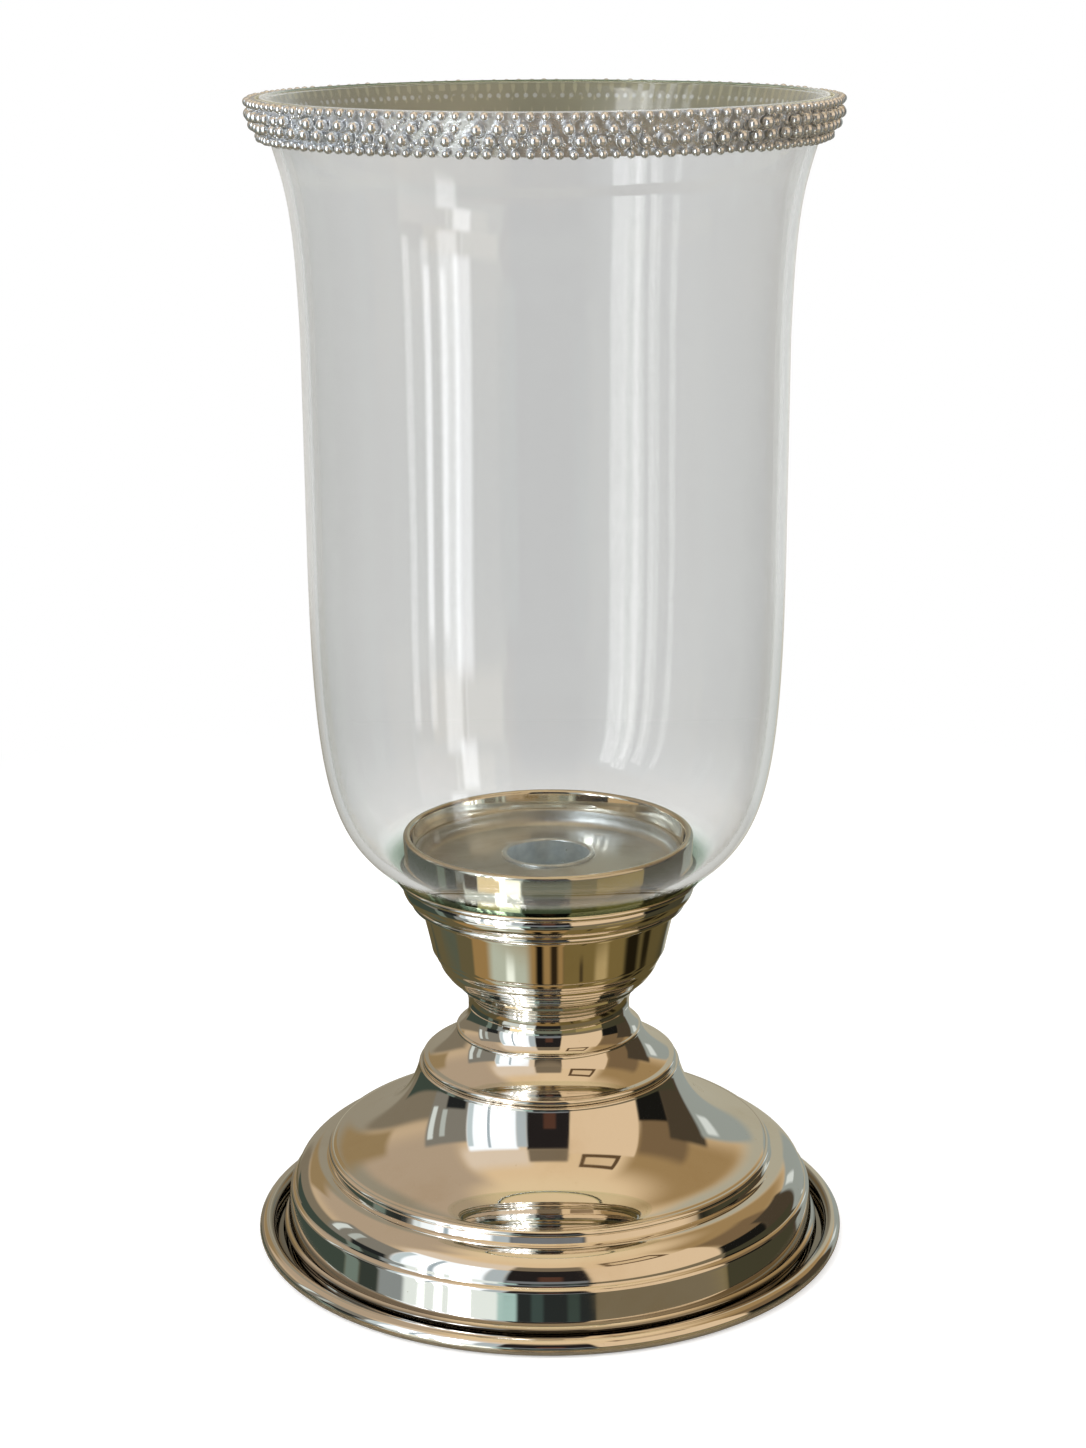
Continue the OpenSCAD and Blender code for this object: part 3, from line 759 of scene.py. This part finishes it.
room = {
    # azimuth from and to, elevation from and to, softness, screen colour, gain.
    # Azimuth 0 faces the camera and grows to the right. Later panels cover earlier ones
    "upperAir": (-220, 220, 12, 110, 16, (212, 185, 147), 1.12),
    "upperLeft": (-220, -75, 16, 75, 30, (178, 158, 134), 1.0),
    "zenith": (-220, 220, 70, 110, 16, (214, 190, 152), 1.12),
    "goldSide": (72, 160, 22, 60, 20, (158, 130, 88), 1.0),
    "brownSide": (78, 122, 8, 42, 8, (120, 98, 70), 1.0),
    "glow": (-78, -18, 38, 56, 12, (222, 204, 182), 1.0),
    "behindRight": (158, 220, -30, 46, 10, (176, 170, 150), 1.0),
    "behindLeft": (-220, -156, -30, 46, 10, (150, 142, 124), 1.0),
    "farLeft": (-158, -108, -28, 12, 6, (126, 116, 98), 1.0),
    "farLeftGold": (-165, -140, 14, 30, 6, (150, 128, 92), 1.0),
    "leftWall": (-110, -71, -14, 32, 4, (128, 124, 114), 1.0),
    "leftSlotA": (-108, -103, 4, 27, 2, (205, 212, 208), 1.1),
    "leftSlotB": (-97, -92, 6, 26, 2, (180, 186, 180), 1.0),
    "leftDark": (-94, -74, -10, 5, 3, (34, 36, 36), 1.0),
    "lowLeft": (-170, -66, -70, -16, 8, (98, 89, 62), 1.0),
    "lowRight": (16, 84, -40, -4, 6, (122, 108, 80), 1.0),
    "lowRightDeep": (16, 92, -66, -32, 5, (118, 100, 58), 1.0),
    "lowDoor": (-20, 16, -31, -27, 3, (60, 60, 50), 1.0),
    "shine": (-70, -19, -31, -2, 3, (228, 236, 232), 1.05),
    "rearFloor": (86, 165, -60, -27, 6, (92, 80, 48), 1.0),
    "bowlGold": (-86, 16, -52, -31, 4, (152, 122, 76), 1.0),
    "bowlOval": (-66, -22, -49, -33.5, 11, (182, 188, 170), 1.0),
    "bowlOvalMid": (-47, -38, -45, -37, 5, (240, 246, 232), 1.1),
    "bowlDarkA": (-14, -6, -60, -40, 5, (20, 17, 12), 1.0),
    "bowlDarkB": (2, 10, -60, -40, 5, (44, 34, 20), 1.0),
    "bowlDarkC": (34, 38, -46, -35, 3, (70, 58, 36), 1.0),
    "bowlGlow": (52, 66, -45, -37, 7, (178, 156, 108), 1.0),
    "bowlOvalRightA": (88, 104, -44, -31, 7, (30, 24, 12), 1.0),
    "bowlOvalRightB": (110, 120, -43, -31, 6, (34, 28, 14), 1.0),
    "bowlOvalLeft": (-130, -106, -44, -32, 7, (86, 90, 74), 1.0),
    "footShine": (-52, -30, -78, -58, 8, (150, 148, 126), 1.0),
    "footDark": (-16, 14, -78, -58, 4, (26, 22, 16), 1.0),
    "window": (-71, -27, -4, 40, 4, (238, 244, 250), 1.25),
    "paneDim": (-71, -66, -4, 36, 2, (196, 210, 214), 1.0),
    "windowBar": (-53, -50.5, -4, 38, 1.5, (168, 182, 190), 1.0),
    "brightA": (-42, -34, -28, 36, 2.5, (250, 252, 255), 7.0),
    "brightB": (-57, -54, -15, 30, 1.5, (250, 252, 255), 5.0),
    "brightC": (-49, -46, -15, 30, 1.5, (250, 252, 255), 5.0),
    "doorway": (-19.5, 16.5, -28, 41, 2.5, (36, 32, 31), 1.0),
    "doorwayTop": (-19, 17, 40, 53, 4, (122, 108, 88), 1.0),
    "doorwayWarm": (-5, 5, 2, 20, 3, (84, 56, 44), 1.0),
    "paleWall": (17, 77, -5, 45, 2.5, (210, 184, 150), 1.15),
    "picture": (29, 65, 45, 58, 1.5, (96, 74, 50), 1.0),
    "pictureInside": (33, 61, 48, 55, 1.5, (205, 178, 140), 1.1),
    "darkCorner": (78, 107, -26, 15, 3, (24, 23, 20), 1.0),
    "cornerPost": (114, 120, -4, 26, 2, (80, 56, 42), 1.0),
    "windowSide": (-28, -19, -4, 38, 3, (178, 188, 192), 1.0),
    "rearDark": (106, 136, -24, 27, 4, (72, 62, 48), 1.0),
    "rearWindow": (134, 162, -24, 21, 4, (152, 158, 152), 1.0),
    "rearGlint": (139, 146, 6, 18, 3, (206, 212, 208), 1.1),
    # what the foot's leaning band mirrors
    "bandShadeA": (-150, -97, -27, -6, 3, (62, 72, 63), 1.0),
    "bandGreyA": (-97, -88, -25, -6, 3, (112, 126, 116), 1.0),
    "bandShadeB": (-88, -77, -24, -6, 3, (54, 60, 54), 1.0),
    "bandGreyB": (-77, -64, -20, -6, 3, (138, 144, 143), 1.0),
    "bandDoor": (-14, 19, -15, -6, 2, (41, 45, 44), 1.0),
    "bandTeal": (-22, -14, -15, -6, 2, (168, 198, 192), 1.0),
    "bandPillarA": (-8, -3, -15, -6, 2, (62, 76, 72), 1.0),
    "bandPillarB": (7, 12, -15, -6, 2, (60, 72, 66), 1.0),
    "bandOlive": (19, 80, -17, -6, 2, (120, 108, 85), 1.0),
    "bandOliveDeep": (80, 130, -24, -6, 3, (66, 63, 46), 1.0),
    "rollFront": (-19, 16, -5, 3, 3, (118, 121, 124), 1.0),
    # what the upright collar mirrors
    "collarBlot": (-69, -57, -22, -17, 2, (74, 64, 50), 1.0),
    "collarWarm": (-57, -38, -22, -17, 2, (244, 222, 178), 1.25),
    "collarWindow": (-38, -22, -22, -17, 2, (255, 250, 232), 2.2),
    "collarGreen": (-21, 18, -22, -17, 2, (112, 116, 100), 1.0),
    "collarOlive": (18, 38, -22, -17, 2, (124, 113, 74), 1.0),
    "collarGold": (38, 80, -22, -17, 2, (156, 138, 88), 1.0),
}
airBelow = linear(60, 58, 42)
airLevel = linear(112, 104, 86)
paleInside = (0.85, 0.85, 0.84, 1)
plainAir = (0.80, 0.80, 0.80, 1)
backdrop = (1.0, 1.0, 1.0, 1)


def makeRoom():
    # what polished metal and glass mirror: a few soft panels. Straight views see plain white
    world = bpy.data.worlds.new("room")
    bpy.context.scene.world = world
    world.use_nodes = True
    world.node_tree.nodes.clear()
    make = nodeMaker(world.node_tree)
    way = make("ShaderNodeTexCoord").outputs["Generated"]
    x, y, z = make("ShaderNodeSeparateXYZ", Vector=way).outputs
    bearing = mathNode(make, "ARCTAN2", x, mathNode(make, "MULTIPLY", y, -1.0))
    azimuth = mathNode(make, "MULTIPLY", bearing, 180 / math.pi)
    elevation = mathNode(make, "MULTIPLY", mathNode(make, "ARCSINE", z), 180 / math.pi)
    colour = mixColour(make, smoothStep(make, elevation, -30, 4), airBelow, airLevel)
    for left, right, low, high, soft, tone, gain in room.values():
        mask = 1.0
        for value, edge, side in ((azimuth, left, 1), (azimuth, right, -1),
                                  (elevation, low, 1), (elevation, high, -1)):
            ramp = smoothStep(make, value, edge - side * soft / 2, edge + side * soft / 2)
            mask = mathNode(make, "MULTIPLY", ramp, mask)
        colour = mixColour(make, mask, colour, linear(*tone, gain=gain))
    path = make("ShaderNodeLightPath").outputs
    mirrored = mathNode(make, "GREATER_THAN", path["Glossy Depth"], 0.5)
    seen = mathNode(make, "MAXIMUM", path["Is Camera Ray"], path["Is Transmission Ray"])
    plain = mixColour(make, seen, plainAir, backdrop)
    # inside the glass the mirrored room is paler, as it is through a bright wall
    oneWall = mathNode(make, "COMPARE", path["Transmission Depth"], 1.0, 0.4)
    within = mathNode(make, "MULTIPLY", oneWall, mirrored)
    pale = make("ShaderNodeMix", {"data_type": "RGBA", "blend_type": "LIGHTEN"},
                i0=within, i6=colour, i7=paleInside).outputs[2]
    final = mixColour(make, mirrored, plain, pale)
    back = make("ShaderNodeBackground", Color=final, Strength=1.0)
    make("ShaderNodeOutputWorld", Surface=back.outputs[0])


floorSet = {
    "half": 12.0, "drop": 0.0002, "pale": (0.72, 0.72, 0.72, 1), "glow": 0.42,
    # distances from the axis where the backdrop takes over, and where metal stops mirroring the table
    "fade": (0.30, 0.55), "table": (0.30, 0.27, 0.21, 1), "tableEdge": (0.079, 0.095),
}


def makeFloor():
    bm = bmesh.new()
    bmesh.ops.create_grid(bm, x_segments=1, y_segments=1, size=floorSet["half"])
    bmesh.ops.translate(bm, vec=(0, 0, -floorSet["drop"]), verts=bm.verts)
    floor = newPiece(bm, "floor")
    material, make = newMaterial("paleFloor")
    path = make("ShaderNodeLightPath").outputs
    mirrored = mathNode(make, "GREATER_THAN", path["Glossy Depth"], 0.5)
    seen = mathNode(make, "MAXIMUM", path["Is Camera Ray"], path["Is Transmission Ray"])
    seen = mathNode(make, "MULTIPLY", seen, mathNode(make, "SUBTRACT", 1.0, mirrored))
    pale = make("ShaderNodeBsdfDiffuse", Color=floorSet["pale"]).outputs[0]
    glow = make("ShaderNodeEmission", Color=backdrop, Strength=floorSet["glow"]).outputs[0]
    near = make("ShaderNodeAddShader", i0=pale, i1=glow).outputs[0]
    white = make("ShaderNodeEmission", Color=backdrop, Strength=1.0).outputs[0]
    spot = make("ShaderNodeTexCoord").outputs["Object"]
    distance = make("ShaderNodeVectorMath", {"operation": "LENGTH"}, i0=spot).outputs["Value"]
    # the floor turns into the plain white backdrop away from the object
    away = smoothStep(make, distance, *floorSet["fade"])
    shown = make("ShaderNodeMixShader", i0=away, i1=near, i2=white).outputs[0]
    edge = smoothStep(make, distance, *floorSet["tableEdge"])
    table = make("ShaderNodeBsdfDiffuse", Color=floorSet["table"]).outputs[0]
    clear = make("ShaderNodeBsdfTransparent").outputs[0]
    inMirror = make("ShaderNodeMixShader", i0=edge, i1=table, i2=clear).outputs[0]
    other = make("ShaderNodeMixShader", i0=mirrored, i1=pale, i2=inMirror).outputs[0]
    final = make("ShaderNodeMixShader", i0=seen, i1=other, i2=shown).outputs[0]
    make("ShaderNodeOutputMaterial", Surface=final)
    floor.data.materials.append(material)


lamps = {
    # place, aim, width, power
    "keyLamp": ((-0.9, -0.9, 1.3), (0, 0, 0.15), 1.0, 11.0),
    "fillLamp": ((1.0, -0.7, 1.0), (0, 0, 0.15), 1.2, 5.0),
    "backLamp": ((0.2, 1.1, 1.2), (0, 0, 0.2), 1.2, 5.0),
}


def makeLamps():
    for name, (spot, aim, width, power) in lamps.items():
        data = bpy.data.lights.new(name, "AREA")
        data.shape = "DISK"
        data.size = width
        data.energy = power
        lamp = bpy.data.objects.new(name, data)
        lamp.location = spot
        lamp.rotation_euler = (Vector(aim) - Vector(spot)).to_track_quat("-Z", "Y").to_euler()
        lamp.visible_glossy = False
        lamp.visible_camera = False
        lamp.visible_transmission = False
        bpy.context.scene.collection.objects.link(lamp)


cameraSet = {"lens": 71.08, "spot": (-0.00126, -0.7672, 0.3645), "pitch": 15.57, "roll": -0.30}


def makeCamera():
    data = bpy.data.cameras.new("camera")
    data.sensor_width = 36.0
    data.lens = cameraSet["lens"]
    data.clip_start = 0.01
    camera = bpy.data.objects.new("camera", data)
    camera.matrix_world = (Matrix.Translation(cameraSet["spot"])
                           @ Matrix.Rotation(math.radians(90 - cameraSet["pitch"]), 4, "X")
                           @ Matrix.Rotation(math.radians(cameraSet["roll"]), 4, "Z"))
    bpy.context.scene.collection.objects.link(camera)
    bpy.context.scene.camera = camera


makeRoom()
makeFloor()
makeLamps()
makeCamera()
bpy.context.scene.view_settings.view_transform = "Standard"
print("room, floor, lamps and camera made")
